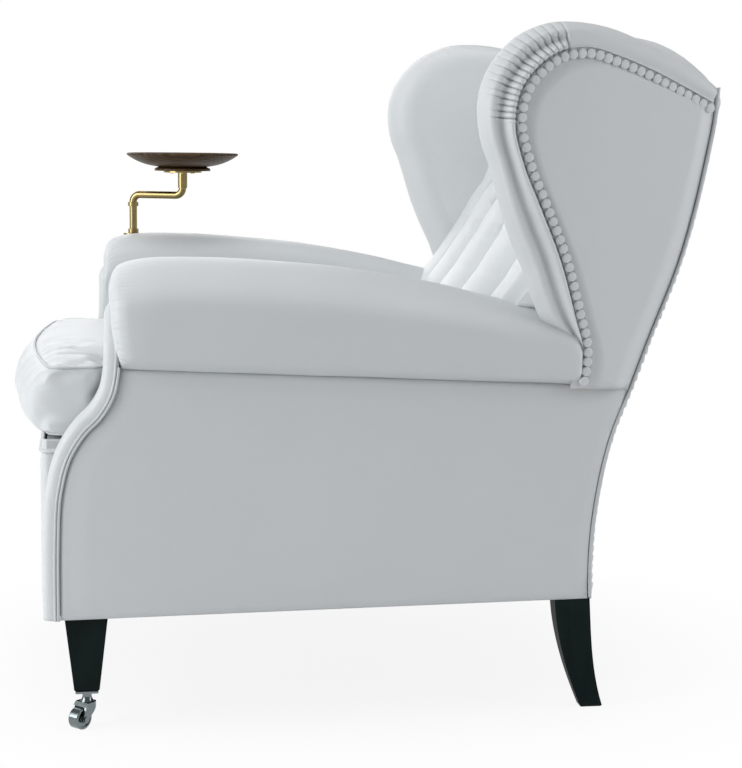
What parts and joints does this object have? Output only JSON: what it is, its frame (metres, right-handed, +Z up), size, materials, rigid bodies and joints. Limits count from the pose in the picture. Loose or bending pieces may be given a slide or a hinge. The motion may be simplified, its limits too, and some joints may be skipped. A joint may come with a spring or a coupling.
{
  "type": "armchair",
  "caption": "Wing-back club chair with padded rolled arms, deep-buttoned back, loose T-shaped seat cushion, tapered front legs on casters, sabre rear legs and a swinging tray.",
  "frame": {"origin": "on the floor under the middle of the chair's box", "axes": "+Z up, -Y towards the front of the chair, +X towards the sitter's left"},
  "size_m": [0.8298, 1.0101, 0.9855],
  "materials": {
    "frame_wood": "sawn hardwood",
    "leg_wood": "near-black stained wood, satin",
    "bottom_cloth": "thin black cloth",
    "webbing": "jute",
    "spring_steel": "drawn wire, bare",
    "deck_cloth": "closely woven cloth",
    "caster_metal": "polished",
    "tray_brass": "polished",
    "tray_wood": "dark stain, satin",
    "leather": "smooth, white to pale grey, soft sheen"
  },
  "bodies": {
    "chair": {"back_buttons": "leather", "back_pad": "leather", "back_webbing": "webbing", "caster_screws": "caster_metal", "corner_blocks": "frame_wood", "crest_rail": "frame_wood", "crest_roll": "leather", "dust_cover": "bottom_cloth", "front_border": "leather", "front_seat_rail": "frame_wood", "left_arm_facing": "leather", "left_arm_pad": "leather", "left_arm_rail": "frame_wood", "left_back_upright": "frame_wood", "left_caster_plate": "caster_metal", "left_facing_welt": "leather", "left_front_leg": "leg_wood", "left_front_post": "frame_wood", "left_rear_leg": "leg_wood", "left_side_panel": "leather", "left_side_rail": "frame_wood", "left_wing_board": "frame_wood", "left_wing_nails": "leather", "left_wing_pad": "leather", "left_wing_panel": "leather", "lower_back_rail": "frame_wood", "outside_back_panel": "leather", "rear_seat_rail": "frame_wood", "right_arm_facing": "leather", "right_arm_pad": "leather", "right_arm_rail": "frame_wood", "right_back_upright": "frame_wood", "right_caster_plate": "caster_metal", "right_facing_welt": "leather", "right_front_leg": "leg_wood", "right_front_post": "frame_wood", "right_rear_leg": "leg_wood", "right_side_panel": "leather", "right_side_rail": "frame_wood", "right_wing_board": "frame_wood", "right_wing_nails": "leather", "right_wing_pad": "leather", "right_wing_panel": "leather", "seat_platform": "deck_cloth", "seat_springs": "spring_steel", "seat_webbing": "webbing", "spring_hessian": "webbing", "tray_socket": "tray_brass"},
    "cushion": {"seat_cushion": "leather"},
    "left_swivel": {"left_caster_fork": "caster_metal", "left_caster_axle": "caster_metal"},
    "right_swivel": {"right_caster_fork": "caster_metal", "right_caster_axle": "caster_metal"},
    "left_roller": {"left_caster_wheel": "caster_metal"},
    "right_roller": {"right_caster_wheel": "caster_metal"},
    "tray": {"tray_arm": "tray_brass", "tray_flange": "tray_brass", "tray_screws": "tray_brass", "tray_bowl": "tray_wood"}
  },
  "joints": [
    {"name": "cushion_lift", "type": "slide", "parent": "chair", "child": "cushion", "axis": [0, 0, 1], "range_m": [0, 0.18]},
    {"name": "left_caster_swivel", "type": "hinge", "parent": "chair", "child": "left_swivel", "pos_m": [0.345, -0.395, 0.05], "axis": [0, 0, 1], "continuous": true},
    {"name": "right_caster_swivel", "type": "hinge", "parent": "chair", "child": "right_swivel", "pos_m": [-0.345, -0.395, 0.05], "axis": [0, 0, 1], "continuous": true},
    {"name": "left_wheel_spin", "type": "hinge", "parent": "left_swivel", "child": "left_roller", "pos_m": [0.3549, -0.4049, 0.015], "axis": [0.7071, 0.7071, 0], "continuous": true},
    {"name": "right_wheel_spin", "type": "hinge", "parent": "right_swivel", "child": "right_roller", "pos_m": [-0.3549, -0.4049, 0.015], "axis": [-0.7071, 0.7071, 0], "continuous": true},
    {"name": "tray_swing", "type": "hinge", "parent": "chair", "child": "tray", "pos_m": [-0.361, -0.308, 0.66], "axis": [0, 0, 1], "continuous": true}
  ]
}
